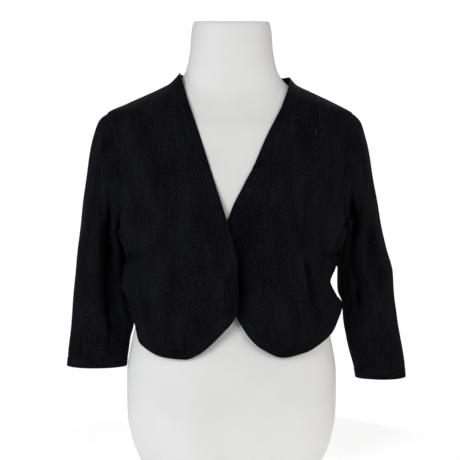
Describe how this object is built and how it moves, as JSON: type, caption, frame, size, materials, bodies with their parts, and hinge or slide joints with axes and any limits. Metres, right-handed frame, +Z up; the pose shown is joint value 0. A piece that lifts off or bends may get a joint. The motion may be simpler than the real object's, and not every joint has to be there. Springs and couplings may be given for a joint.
{
  "type": "knitted shrug on a dress form",
  "caption": "Cropped open-front knitted shrug with three-quarter sleeves and banded edges, worn by a smooth limbless dress form.",
  "frame": {"origin": "centre of the dress form's flat underside", "axes": "+Z up along the form's axis; the garment's front faces -Y; +X is the wearer's left"},
  "size_m": [0.575, 0.2701, 0.7669],
  "materials": {
    "knit": "fine black jersey knit, matte with a faint sheen",
    "band": "black knitted edge band, a little denser than the panels",
    "form": "smooth off-white satin shell"
  },
  "bodies": {
    "root": {"front_right": "knit", "front_left": "knit", "back": "knit", "sleeve_right": "knit", "sleeve_left": "knit", "cuff_right": "band", "cuff_left": "band", "front_band_right": "band", "front_band_left": "band", "neck_band_back": "band", "hem_band_back": "band", "dress_form": "form"}
  },
  "joints": []
}
